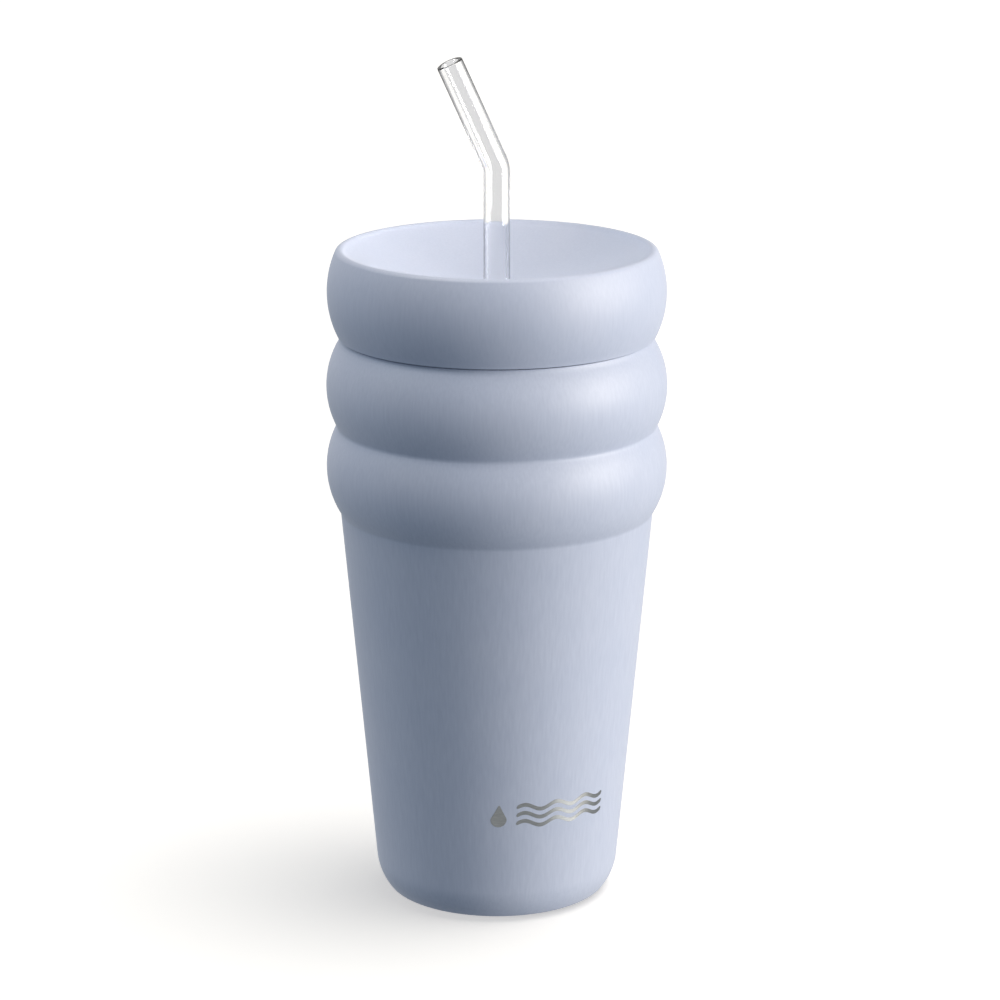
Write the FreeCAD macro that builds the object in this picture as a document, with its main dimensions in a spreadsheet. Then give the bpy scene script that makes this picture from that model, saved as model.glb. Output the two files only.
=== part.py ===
import FreeCAD, Part
import math
import os
import re
import Sketcher
from FreeCAD import Vector

# A vacuum-insulated drinking tumbler with a push-in lid and a bent glass straw.
# Millimetres, +Z up, origin at the middle of the base pad's underside. Nearly every piece is
# round about Z: its half section is a sketch on the XZ plane, turned once about Z.

DIMENSIONS = {
    # Steel vessel, outside: foot, rounded corner, long cone, two bulged rings, mouth
    "steel_wall": 0.6,
    "foot_gap": 0.5,
    "foot_radius": 28.0,
    "foot_round": 2.0,
    "corner_height": 1.3,
    "corner_centre_radius": 18.0,
    "corner_centre_height": 10.2,
    "corner_round": 14.6,
    "cone_angle": 5.25,
    "cone_top_radius": 41.45,
    "cone_top_height": 105.3,
    "lower_ring_round": 22.5,
    "ring_groove_radius": 42.15,
    "ring_groove_height": 128.5,
    "upper_ring_round": 22.3,
    "groove_fillet": 0.9,
    "mouth_radius": 40.95,
    "mouth_height": 152.3,
    "lip_round": 0.4,
    "weld_land": 1.0,
    # Steel liner, inside
    "mouth_bore": 39.75,
    "mouth_step": 130.9,
    "liner_foot_radius": 28.19,
    "liner_foot_height": 16.0,
    "liner_round": 9.0,
    "liner_floor_radius": 19.24,
    "liner_floor": 7.9,
    # Reflecting foil in the vacuum gap
    "foil_wall": 0.1,
    "foil_gap": 0.3,
    "foil_bottom": 20.9,
    "foil_top": 126.9,
    # Base pan with its pump-out dimple, the bead that seals it, and the getter above it
    "pan_radius": 26.0,
    "pan_height": 1.7,
    "dimple_radius": 5.0,
    "dimple_floor_radius": 2.2,
    "dimple_top": 3.2,
    "pump_hole_radius": 0.75,
    "seal_radius": 1.9,
    "seal_depth": 0.9,
    "getter_offset": 14.0,
    "getter_radius": 4.5,
    "getter_thickness": 1.6,
    "clip_thickness": 0.4,
    "clip_width": 3.0,
    "clip_span": 9.6,
    "clip_foot": 2.0,
    # Silicone pad under the base
    "pad_radius": 24.9,
    "pad_chamfer": 0.5,
    # Lid cover: bulged ring, rounded rim and shallow bowl-shaped dish
    "lid_gap": 0.25,
    "lid_edge_radius": 41.7,
    "lid_ring_round": 25.8,
    "rim_height": 175.6,
    "rim_centre_radius": 40.93,
    "rim_round": 1.5,
    "rim_lean": 24.38,
    "rim_roll": 58,
    "dish_round": 95.0,
    "dish_floor": 165.25,
    "cover_wall": 2.2,
    "recess_wall": 0.75,
    "cover_hole_radius": 6.0,
    "cover_recess_radius": 8.8,
    "cover_recess_depth": 0.9,
    "cavity_bend_radius": 37.6,
    "cavity_bend_height": 170.6,
    "cavity_top_radius": 41.4,
    "cavity_top_height": 171.0,
    "weld_height": 154.8,
    "rib_radius": 38.6,
    "rib_root_radius": 41.1,
    "rib_height": 2.0,
    "rebate_radius": 40.2,
    # Lid plug: flange, gasket groove, floor and the tube round the straw
    "seat_gap": 0.15,
    "flange_radius": 40.15,
    "plug_radius": 38.2,
    "plug_bore": 34.4,
    "plug_floor": 139.3,
    "plug_round": 3.0,
    "plug_wall": 2.2,
    "groove_bottom": 144.5,
    "groove_width": 4.0,
    "groove_depth": 1.8,
    "tube_bore": 8.0,
    "tube_wall": 1.8,
    # Gasket ring with two wiping lips
    "gasket_gap": 0.1,
    "gasket_root_radius": 37.8,
    "gasket_lip_radius": 39.6,
    "gasket_lip_rise": 1.0,
    "gasket_lip_root": 0.9,
    "gasket_lip_tip": 0.5,
    "gasket_lip_pitch": 2.1,
    # Straw grommet
    "grommet_gap": 0.1,
    "grommet_bore": 3.55,
    "grommet_relief": 3.95,
    "grommet_flange_radius": 8.6,
    "grommet_flange": 0.7,
    "grommet_flange_round": 0.35,
    "grommet_lead": 0.35,
    "grommet_barb_radius": 7.4,
    "grommet_barb_height": 162.1,
    "grommet_nose_radius": 5.2,
    "grommet_nose_height": 158.5,
    "vent_offset": 4.75,
    "vent_radius": 0.5,
    # Bent glass straw
    "straw_radius": 3.5,
    "straw_wall": 1.2,
    "straw_foot": 11.9,
    "straw_bend_height": 196.9,
    "straw_bend_radius": 9.0,
    "straw_lean": 24.6,
    "straw_tip_length": 30.3,
    "straw_turn": 195.1,
    "straw_end_round": 0.35,
}

document = FreeCAD.newDocument("tumbler")
sheet = document.addObject("Spreadsheet::Sheet", "Sizes")
for row, (alias, number) in enumerate(DIMENSIONS.items(), start=1):
    sheet.set(f"A{row}", alias)
    sheet.set(f"B{row}", str(number))
    sheet.setAlias(f"B{row}", alias)
document.recompute()


def bound(expression):
    """An expression whose bare names of dimensions point at the spreadsheet's cells."""
    def to_cell(match):
        word = match.group(0)
        return f"Sizes.{word}" if word in DIMENSIONS else word
    return re.sub(r"[a-z_]+", to_cell, expression)


def new_body(label):
    body = document.addObject("PartDesign::Body", label)
    body.Label = label
    body.Placement = FreeCAD.Placement()
    return body


def new_sketch(body, name, plane_role):
    """A sketch lying flat on one of the body's own origin planes."""
    sketch = body.newObject("Sketcher::SketchObject", name)
    planes = [item for item in body.Origin.OriginFeatures if item.Role == plane_role]
    sketch.AttachmentSupport = [(planes[0], "")]
    sketch.MapMode = "FlatFace"
    return sketch


def constrain(sketch, kind, *items, size=None):
    """Add a constraint; a size makes it follow the spreadsheet."""
    if size is None:
        sketch.addConstraint(Sketcher.Constraint(kind, *items))
        return
    start_value = float(sketch.evalExpression(bound(size)))
    index = sketch.addConstraint(Sketcher.Constraint(kind, *items, start_value))
    sketch.setExpression(f"Constraints[{index}]", bound(size))


def place_point(sketch, geometry, end, across, up):
    """Hold one end of an edge at (across, up) from the sketch's origin."""
    if across == "0":
        constrain(sketch, "PointOnObject", geometry, end, -2)
    else:
        constrain(sketch, "DistanceX", -1, 1, geometry, end, size=across)
    if up == "0":
        constrain(sketch, "PointOnObject", geometry, end, -1)
    else:
        constrain(sketch, "DistanceY", -1, 1, geometry, end, size=up)


def arc_between(start, end, radius, side):
    """The short arc from start to end whose centre is on the left ("bulge") or right ("hollow")."""
    chord = end - start
    half = chord.Length / 2
    rise = math.sqrt(radius * radius - half * half)
    left = Vector(-chord.y, chord.x, 0).normalize()
    centre = start + chord * 0.5 + left * (rise if side == "bulge" else -rise)
    first, last = (start, end) if side == "bulge" else (end, start)
    angles = [math.atan2(point.y - centre.y, point.x - centre.x) for point in (first, last)]
    return Part.ArcOfCircle(Part.Circle(centre, Vector(0, 0, 1), radius), *angles)


def draw_outline(sketch, corners):
    """Close lines and arcs through the corners, anticlockwise, with the material on their left.

    A corner is (radius, height), or (radius, height, "bulge" or "hollow", arc radius) where the
    edge to the next corner is an arc that swells out of the material or cuts into it.
    """
    points = []
    for corner in corners:
        across, up = [float(sketch.evalExpression(bound(text))) for text in corner[:2]]
        points.append(Vector(across, up, 0))
    heads = []
    tails = []
    for index, corner in enumerate(corners):
        start = points[index]
        end = points[(index + 1) % len(points)]
        if len(corner) == 2:
            edge = sketch.addGeometry(Part.LineSegment(start, end))
            head, tail = 1, 2
        else:
            side, size = corner[2:]
            radius = float(sketch.evalExpression(bound(size)))
            edge = sketch.addGeometry(arc_between(start, end, radius, side))
            head, tail = (1, 2) if side == "bulge" else (2, 1)
        heads.append((edge, head))
        tails.append((edge, tail))
    for index, corner in enumerate(corners):
        constrain(sketch, "Coincident", *tails[index - 1], *heads[index])
        place_point(sketch, *heads[index], corner[0], corner[1])
        if len(corner) == 4:
            constrain(sketch, "Radius", heads[index][0], size=corner[3])


def turned_piece(label, corners):
    """A body made by turning a half section all the way round Z."""
    body = new_body(label)
    sketch = new_sketch(body, f"{label}_section", "XZ_Plane")
    draw_outline(sketch, corners)
    revolution = body.newObject("PartDesign::Revolution", f"{label}_turned")
    revolution.Profile = sketch
    revolution.ReferenceAxis = (sketch, ["V_Axis"])
    revolution.Angle = 360
    sketch.Visibility = False
    document.recompute()
    return body


def fillet_circles(body, name, size, wanted):
    """Round the circular edges of the body's last feature that wanted(edge) picks."""
    base = body.Tip
    chosen = []
    for index, edge in enumerate(base.Shape.Edges, start=1):
        if isinstance(edge.Curve, Part.Circle) and wanted(edge.Curve):
            chosen.append(f"Edge{index}")
    fillet = body.newObject("PartDesign::Fillet", name)
    fillet.Base = (base, chosen)
    fillet.setExpression("Radius", bound(size))
    document.recompute()
    return fillet


# Heights and radii that several pieces share
LID_EDGE = "mouth_height + lid_gap"
LID_SEAT = "mouth_height + seat_gap"
RECESS_FLOOR = "dish_floor - cover_recess_depth"
DISH_UNDERSIDE = f"{RECESS_FLOOR} - recess_wall"
GROMMET_SEAT = f"{RECESS_FLOOR} + 2 * grommet_gap"


def corner_reach(round_size, height):
    """How far out the rounded bottom corner reaches at a height."""
    return f"corner_centre_radius + sqrt(({round_size})^2 - (corner_centre_height - ({height}))^2)"


def make_outer_shell():
    """Pressed steel outer wall: foot, rounded corner, cone and the two bulged rings."""
    inner_round = "corner_round - steel_wall"
    foot_top = "foot_gap + steel_wall"
    body = turned_piece("outer_shell", [
        ("pan_radius", "foot_gap"),
        ("foot_radius", "foot_gap", "bulge", "foot_round"),
        (corner_reach("corner_round", "corner_height"), "corner_height", "bulge", "corner_round"),
        ("corner_centre_radius + corner_round * cos(cone_angle)",
         "corner_centre_height - corner_round * sin(cone_angle)"),
        ("cone_top_radius", "cone_top_height", "bulge", "lower_ring_round"),
        ("ring_groove_radius", "ring_groove_height", "bulge", "upper_ring_round"),
        ("mouth_radius", "mouth_height - lip_round", "bulge", "lip_round"),
        ("mouth_radius - lip_round", "mouth_height"),
        ("mouth_radius - steel_wall", "mouth_height"),
        ("mouth_radius - steel_wall", "mouth_height - weld_land", "hollow", "upper_ring_round"),
        ("ring_groove_radius - steel_wall", "ring_groove_height", "hollow", "lower_ring_round"),
        ("cone_top_radius - steel_wall", "cone_top_height"),
        (f"corner_centre_radius + ({inner_round}) * cos(cone_angle)",
         f"corner_centre_height - ({inner_round}) * sin(cone_angle)", "hollow", inner_round),
        (corner_reach(inner_round, foot_top), foot_top),
        ("pan_radius", foot_top),
    ])
    valleys = {DIMENSIONS["cone_top_height"]: DIMENSIONS["cone_top_radius"],
               DIMENSIONS["ring_groove_height"]: DIMENSIONS["ring_groove_radius"]}

    def in_a_valley(circle):
        return any(abs(circle.Center.z - height) < 0.01 and abs(circle.Radius - radius) < 0.01
                   for height, radius in valleys.items())

    fillet_circles(body, "ring_valleys", "groove_fillet", in_a_valley)
    return body


def make_inner_liner():
    """Drawn steel cup that holds the drink, welded to the shell round the mouth."""
    return turned_piece("inner_liner", [
        ("0", "liner_floor - steel_wall"),
        ("liner_floor_radius", "liner_floor - steel_wall", "bulge", "liner_round + steel_wall"),
        ("liner_foot_radius + steel_wall", "liner_foot_height"),
        ("mouth_bore + steel_wall", "mouth_step"),
        ("mouth_bore + steel_wall", "mouth_height"),
        ("mouth_bore + lip_round", "mouth_height", "bulge", "lip_round"),
        ("mouth_bore", "mouth_height - lip_round"),
        ("mouth_bore", "mouth_step"),
        ("liner_foot_radius", "liner_foot_height", "hollow", "liner_round"),
        ("liner_floor_radius", "liner_floor"),
        ("0", "liner_floor"),
    ])


def make_copper_foil():
    """Foil sleeve wound round the liner's cone inside the vacuum."""
    slope = "(mouth_bore - liner_foot_radius) / (mouth_step - liner_foot_height)"

    def sleeve_radius(height):
        return f"liner_foot_radius + steel_wall + foil_gap + {slope} * ({height} - liner_foot_height)"

    return turned_piece("copper_foil", [
        (sleeve_radius("foil_bottom"), "foil_bottom"),
        (sleeve_radius("foil_bottom") + " + foil_wall", "foil_bottom"),
        (sleeve_radius("foil_top") + " + foil_wall", "foil_top"),
        (sleeve_radius("foil_top"), "foil_top"),
    ])


def make_base_pan():
    """Pressed disc welded into the foot, with the dimple that the air was pumped out through."""
    return turned_piece("base_pan", [
        ("pump_hole_radius", "dimple_top"),
        ("dimple_floor_radius", "dimple_top"),
        ("dimple_radius", "pan_height"),
        ("pan_radius - steel_wall", "pan_height"),
        ("pan_radius - steel_wall", "foot_gap"),
        ("pan_radius", "foot_gap"),
        ("pan_radius", "pan_height + steel_wall"),
        ("dimple_radius", "pan_height + steel_wall"),
        ("dimple_floor_radius", "dimple_top + steel_wall"),
        ("pump_hole_radius", "dimple_top + steel_wall"),
    ])


def make_vacuum_seal():
    """Bead of solder glass melted over the pump-out hole."""
    return turned_piece("vacuum_seal", [
        ("0", "dimple_top - seal_depth", "bulge", "seal_radius * 1.3"),
        ("seal_radius", "dimple_top"),
        ("0", "dimple_top"),
    ])


def make_getter_pellet():
    """Gas-absorbing pellet that keeps the vacuum hard."""
    body = turned_piece("getter_pellet", [
        ("0", "pan_height + steel_wall"),
        ("getter_radius", "pan_height + steel_wall"),
        ("getter_radius", "pan_height + steel_wall + getter_thickness"),
        ("0", "pan_height + steel_wall + getter_thickness"),
    ])
    body.setExpression("Placement.Base.x", bound("getter_offset"))
    return body


def make_getter_clip():
    """Bent steel strap, spot-welded to the pan, that holds the pellet down."""
    floor = "pan_height + steel_wall"
    roof = "pan_height + steel_wall + getter_thickness"
    body = new_body("getter_clip")
    sketch = new_sketch(body, "getter_clip_strap", "XZ_Plane")
    draw_outline(sketch, [
        ("getter_offset - clip_span / 2 - clip_foot", floor),
        ("getter_offset - clip_span / 2", floor),
        ("getter_offset - clip_span / 2", roof),
        ("getter_offset + clip_span / 2", roof),
        ("getter_offset + clip_span / 2", floor),
        ("getter_offset + clip_span / 2 + clip_foot", floor),
        ("getter_offset + clip_span / 2 + clip_foot", f"{floor} + clip_thickness"),
        ("getter_offset + clip_span / 2 + clip_thickness", f"{floor} + clip_thickness"),
        ("getter_offset + clip_span / 2 + clip_thickness", f"{roof} + clip_thickness"),
        ("getter_offset - clip_span / 2 - clip_thickness", f"{roof} + clip_thickness"),
        ("getter_offset - clip_span / 2 - clip_thickness", f"{floor} + clip_thickness"),
        ("getter_offset - clip_span / 2 - clip_foot", f"{floor} + clip_thickness"),
    ])
    strap = body.newObject("PartDesign::Pad", "getter_clip_pad")
    strap.Profile = sketch
    strap.setExpression("Length", bound("clip_width"))
    strap.Midplane = True
    document.recompute()
    return body


def make_base_pad():
    """Soft disc stuck under the pan; the cup stands on it."""
    return turned_piece("base_pad", [
        ("0", "0"),
        ("pad_radius - pad_chamfer", "0"),
        ("pad_radius", "pad_chamfer"),
        ("pad_radius", "pan_height"),
        ("0", "pan_height"),
    ])


def make_lid_cover():
    """Moulded top of the lid: the third ring, its rounded rim and the dish round the grommet."""
    return turned_piece("lid_cover", [
        ("cover_hole_radius", DISH_UNDERSIDE),
        ("tube_bore + tube_wall", DISH_UNDERSIDE, "bulge", "dish_round + cover_wall"),
        ("cavity_bend_radius", "cavity_bend_height"),
        ("cavity_top_radius", "cavity_top_height", "hollow", "lid_ring_round"),
        ("rib_root_radius", "weld_height + rib_height"),
        ("rib_radius", "weld_height + rib_height"),
        ("rib_radius", "weld_height"),
        ("rebate_radius", "weld_height"),
        ("rebate_radius", LID_EDGE),
        ("lid_edge_radius", LID_EDGE, "bulge", "lid_ring_round"),
        ("rim_centre_radius + rim_round * cos(rim_lean)",
         "rim_height - rim_round + rim_round * sin(rim_lean)", "bulge", "rim_round"),
        ("rim_centre_radius", "rim_height", "bulge", "rim_round"),
        ("rim_centre_radius - rim_round * sin(rim_roll)",
         "rim_height - rim_round + rim_round * cos(rim_roll)", "hollow", "dish_round"),
        ("cover_recess_radius", "dish_floor"),
        ("cover_recess_radius", RECESS_FLOOR),
        ("cover_hole_radius", RECESS_FLOOR),
    ])


def make_lid_plug():
    """Moulded underside of the lid, welded to the cover; it reaches down into the mouth."""
    return turned_piece("lid_plug", [
        ("tube_bore", "plug_floor"),
        ("plug_radius - plug_round", "plug_floor", "bulge", "plug_round"),
        ("plug_radius", "plug_floor + plug_round"),
        ("plug_radius", "groove_bottom"),
        ("plug_radius - groove_depth", "groove_bottom"),
        ("plug_radius - groove_depth", "groove_bottom + groove_width"),
        ("plug_radius", "groove_bottom + groove_width"),
        ("plug_radius", LID_SEAT),
        ("flange_radius", LID_SEAT),
        ("flange_radius", "weld_height"),
        ("plug_bore", "weld_height"),
        ("plug_bore", "plug_floor + plug_wall"),
        ("tube_bore + tube_wall", "plug_floor + plug_wall"),
        ("tube_bore + tube_wall", DISH_UNDERSIDE),
        ("tube_bore", DISH_UNDERSIDE),
    ])


def make_lid_gasket():
    """Silicone ring in the plug's groove, with two lips that wipe the mouth."""
    bore = "plug_radius - groove_depth + gasket_gap"
    bottom = "groove_bottom + gasket_gap"
    top = "groove_bottom + groove_width - gasket_gap"
    corners = [(bore, bottom)]
    for lip in range(2):
        root = f"{bottom} + {lip} * gasket_lip_pitch"
        tip = f"{root} + gasket_lip_rise"
        corners += [
            ("gasket_root_radius", root),
            ("gasket_lip_radius", tip),
            ("gasket_lip_radius", f"{tip} + gasket_lip_tip"),
            ("gasket_root_radius", f"{root} + gasket_lip_root"),
        ]
    corners += [("gasket_root_radius", top), (bore, top)]
    return turned_piece("lid_gasket", corners)


def make_straw_grommet():
    """Silicone bush clipped into the lid's middle hole; two inner ribs grip the straw."""
    top = f"{GROMMET_SEAT} + grommet_flange"
    neck = "cover_hole_radius - grommet_gap"
    barb_top = f"{DISH_UNDERSIDE} - grommet_gap"
    rib = "2 * grommet_lead + 1"
    body = turned_piece("straw_grommet", [
        ("grommet_bore", "grommet_nose_height"),
        ("grommet_nose_radius", "grommet_nose_height"),
        ("grommet_barb_radius", "grommet_barb_height"),
        ("grommet_barb_radius", barb_top),
        (neck, barb_top),
        (neck, GROMMET_SEAT),
        ("grommet_flange_radius", GROMMET_SEAT),
        ("grommet_flange_radius", f"{top} - grommet_flange_round", "bulge", "grommet_flange_round"),
        ("grommet_flange_radius - grommet_flange_round", top),
        ("grommet_bore + grommet_lead", top),
        ("grommet_bore", f"{top} - grommet_lead"),
        ("grommet_bore", f"{top} - ({rib})"),
        ("grommet_relief", f"{top} - ({rib}) - grommet_lead"),
        ("grommet_relief", f"grommet_nose_height + {rib} + grommet_lead"),
        ("grommet_bore", f"grommet_nose_height + {rib}"),
    ])
    solid_before = body.Shape.Volume
    sketch = new_sketch(body, "vent_circle", "XY_Plane")
    circle = sketch.addGeometry(Part.Circle(Vector(0, 0, 0), Vector(0, 0, 1), 1))
    place_point(sketch, circle, 3, "0", "vent_offset")
    constrain(sketch, "Radius", circle, size="vent_radius")
    vent = body.newObject("PartDesign::Pocket", "vent_hole")
    vent.Profile = sketch
    vent.Type = "ThroughAll"
    vent.Reversed = True
    document.recompute()
    if body.Shape.Volume >= solid_before:
        raise RuntimeError("the vent hole cut nothing")
    return body


def make_straw():
    """Borosilicate tube with one soft bend; both ends are flame-polished."""
    setback = "straw_bend_radius * tan(straw_lean / 2)"
    tip_across = "straw_tip_length * sin(straw_lean)"
    tip_up = "straw_tip_length * cos(straw_lean)"
    body = new_body("straw")
    path = new_sketch(body, "straw_path", "XZ_Plane")
    knots = [
        ("0", "straw_foot"),
        ("0", f"straw_bend_height - {setback}"),
        (f"{setback} * sin(straw_lean)", f"straw_bend_height + {setback} * cos(straw_lean)"),
        (tip_across, f"straw_bend_height + {tip_up}"),
    ]
    points = []
    for across, up in knots:
        points.append(Vector(float(path.evalExpression(bound(across))),
                             float(path.evalExpression(bound(up))), 0))
    leg = path.addGeometry(Part.LineSegment(points[0], points[1]))
    bend_radius = DIMENSIONS["straw_bend_radius"]
    bend = path.addGeometry(arc_between(points[1], points[2], bend_radius, "hollow"))
    tip = path.addGeometry(Part.LineSegment(points[2], points[3]))
    place_point(path, leg, 1, *knots[0])
    place_point(path, leg, 2, *knots[1])
    constrain(path, "Coincident", leg, 2, bend, 2)
    constrain(path, "Coincident", bend, 1, tip, 1)
    constrain(path, "Radius", bend, size="straw_bend_radius")
    place_point(path, tip, 1, *knots[2])
    place_point(path, tip, 2, *knots[3])
    section = new_sketch(body, "straw_section", "XY_Plane")
    section.AttachmentOffset = FreeCAD.Placement(Vector(0, 0, DIMENSIONS["straw_foot"]),
                                                 FreeCAD.Rotation())
    section.setExpression("AttachmentOffset.Base.z", bound("straw_foot"))
    for size in ("straw_radius", "straw_radius - straw_wall"):
        circle = section.addGeometry(Part.Circle(Vector(0, 0, 0), Vector(0, 0, 1), 1))
        constrain(section, "Coincident", circle, 3, -1, 1)
        constrain(section, "Radius", circle, size=size)
    document.recompute()
    pipe = body.newObject("PartDesign::AdditivePipe", "straw_tube")
    pipe.Profile = section
    pipe.Spine = path
    document.recompute()
    tip_height = points[3].y

    def at_an_end(circle):
        foot = abs(circle.Center.z - DIMENSIONS["straw_foot"]) < 0.01
        return foot or abs(circle.Center.z - tip_height) < 0.01

    fillet_circles(body, "flame_polish", "straw_end_round", at_an_end)
    body.Placement = FreeCAD.Placement(Vector(), Vector(0, 0, 1), DIMENSIONS["straw_turn"])
    body.setExpression("Placement.Rotation.Angle", bound("straw_turn"))
    return body


PIECES = [
    make_outer_shell(),
    make_inner_liner(),
    make_copper_foil(),
    make_base_pan(),
    make_vacuum_seal(),
    make_getter_pellet(),
    make_getter_clip(),
    make_base_pad(),
    make_lid_cover(),
    make_lid_plug(),
    make_lid_gasket(),
    make_straw_grommet(),
    make_straw(),
]
document.recompute()

for item in document.Objects:
    if "Invalid" in item.State or "Error" in item.State:
        raise RuntimeError(f"{item.Label} failed: {item.State}")
for piece in PIECES:
    shape = piece.Shape
    if shape.isNull() or not shape.isValid() or len(shape.Solids) != 1:
        raise RuntimeError(f"{piece.Label} has no single valid solid")

os.makedirs("parts", exist_ok=True)
for piece in PIECES:
    piece.Shape.exportStep(f"parts/{piece.Label}.step")
    print(f"{piece.Label}: {piece.Shape.Volume:.0f} mm3")
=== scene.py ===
import math

import bpy
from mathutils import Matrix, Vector


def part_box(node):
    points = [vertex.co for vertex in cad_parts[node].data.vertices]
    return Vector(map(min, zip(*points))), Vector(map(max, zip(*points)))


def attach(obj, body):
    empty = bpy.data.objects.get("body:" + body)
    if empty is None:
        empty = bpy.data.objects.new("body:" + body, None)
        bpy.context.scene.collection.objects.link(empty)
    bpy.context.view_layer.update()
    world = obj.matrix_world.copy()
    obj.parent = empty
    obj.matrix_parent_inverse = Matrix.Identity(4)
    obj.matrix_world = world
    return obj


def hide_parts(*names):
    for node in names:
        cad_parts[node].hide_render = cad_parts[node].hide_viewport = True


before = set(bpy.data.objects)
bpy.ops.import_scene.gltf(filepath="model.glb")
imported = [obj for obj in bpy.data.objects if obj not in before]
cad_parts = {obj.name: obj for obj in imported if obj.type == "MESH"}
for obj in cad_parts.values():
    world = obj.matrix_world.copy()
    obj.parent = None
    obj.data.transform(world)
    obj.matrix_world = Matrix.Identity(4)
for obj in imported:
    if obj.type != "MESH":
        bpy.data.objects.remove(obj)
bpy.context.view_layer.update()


# ---- Outer shell ---------------------------------------------------------------------------
# The tumbler's outside wall: 0.6 mm stainless steel sheet, drawn into a cone and swelled under
# water pressure into two rings. It is powder-coated outside and welded to the liner at the mouth.

MM = 0.001
TURN_STEPS = 180
ARC_STEPS = 16


def arc_points(start, end, radius):
    """Points after start on the short arc to end, its centre on the left of the way there.

    A negative radius puts the centre on the right.
    """
    start, end = Vector(start), Vector(end)
    chord = end - start
    left = Vector((-chord.y, chord.x)).normalized()
    rise = math.sqrt(radius ** 2 - (chord.length / 2) ** 2)
    centre = start + chord / 2 + left * math.copysign(rise, radius)
    sweep = math.copysign(2 * math.asin(chord.length / 2 / abs(radius)), radius)
    spoke = start - centre
    points = []
    for step in range(1, ARC_STEPS + 1):
        turn = sweep * step / ARC_STEPS
        turned = Vector((spoke.x * math.cos(turn) - spoke.y * math.sin(turn),
                         spoke.x * math.sin(turn) + spoke.y * math.cos(turn)))
        points.append(tuple(centre + turned))
    return points


def trace_outline(corners):
    """The half section through (radius, height) corners in millimetres.

    A third number is the radius of the arc from that corner to the next one. The section closes
    on its first corner unless it starts on the axis, where the spin closes it.
    """
    points = [corners[0][:2]]
    on_axis = corners[0][0] == 0
    following_corners = corners[1:] if on_axis else corners[1:] + corners[:1]
    for corner, following in zip(corners, following_corners):
        if len(corner) == 3:
            points += arc_points(corner[:2], following[:2], corner[2])
        else:
            points.append(following[:2])
    return points


def turn_piece(name, corners):
    """Draw a half section by extruding one vertex, and spin it once round the cup's axis."""
    points = trace_outline(corners)
    bpy.ops.object.select_all(action="DESELECT")
    bpy.ops.mesh.primitive_plane_add(size=MM)
    piece = bpy.context.object
    piece.name = piece.data.name = name
    bpy.ops.object.mode_set(mode="EDIT")
    bpy.ops.mesh.select_mode(type="VERT")
    bpy.ops.mesh.merge(type="CENTER")
    bpy.ops.transform.translate(value=(points[0][0] * MM, 0, points[0][1] * MM))
    for here, there in zip(points, points[1:]):
        step = ((there[0] - here[0]) * MM, 0, (there[1] - here[1]) * MM)
        bpy.ops.mesh.extrude_region_move(TRANSFORM_OT_translate={"value": step})
    bpy.ops.mesh.select_all(action="SELECT")
    bpy.ops.mesh.spin(steps=TURN_STEPS, angle=math.tau, center=(0, 0, 0), axis=(0, 0, 1))
    bpy.ops.mesh.select_all(action="SELECT")
    bpy.ops.mesh.remove_doubles(threshold=0.001 * MM)
    bpy.ops.mesh.normals_make_consistent(inside=False)
    bpy.ops.object.mode_set(mode="OBJECT")
    return piece


def finish_edges(piece, crease_degrees=35):
    bpy.ops.object.select_all(action="DESELECT")
    piece.select_set(True)
    bpy.context.view_layer.objects.active = piece
    bpy.ops.object.shade_smooth_by_angle(angle=math.radians(crease_degrees))


def linear(hex_colour):
    """An sRGB hex colour as the linear colour that a shader socket takes."""
    channels = []
    for place in (1, 3, 5):
        value = int(hex_colour[place:place + 2], 16) / 255
        channels.append(value / 12.92 if value <= 0.04045 else ((value + 0.055) / 1.055) ** 2.4)
    return (*channels, 1.0)


def add_node(tree, kind, sockets, **settings):
    """Add a node; a socket is given a plain value, or another node's output to link.

    Sockets go by name, but a Mix node repeats its names: its factor is 0, its colours 6 and 7.
    """
    made = tree.nodes.new(kind)
    for name, value in settings.items():
        setattr(made, name, value)
    for socket, value in sockets.items():
        if isinstance(value, bpy.types.NodeSocket):
            tree.links.new(value, made.inputs[socket])
        else:
            made.inputs[socket].default_value = value
    return made


def new_material(name):
    material = bpy.data.materials.new(name)
    material.use_nodes = True
    material.node_tree.nodes.clear()
    return material, material.node_tree


WALL = 0.6
PAN_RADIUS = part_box("base_pan")[1].x / MM
FOOT_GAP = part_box("outer_shell")[0].z / MM
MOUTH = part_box("outer_shell")[1].z / MM
MOUTH_RADIUS = 40.95
CONE_TOP = (41.45, 105.3)
RING_GROOVE = (42.15, 128.5)
CONE_FOOT = (32.54, 8.86)
LOWER_RING_ROUND = 22.5
UPPER_RING_ROUND = 22.3
CORNER_ROUND = 14.6
FOOT_RADIUS = 28.0
FOOT_RADIUS_INSIDE = 28.64
FOOT_CORNER = (29.57, 1.3)
FOOT_ROUND = 2.0
LIP_ROUND = 0.4
WELD_LAND = 1.0
GROOVE_FILLET = 0.6
SAME_PLACE = 0.01
COAT_INSIDE_FOOT = 2.0
BARE_LIP = 0.1

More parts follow.
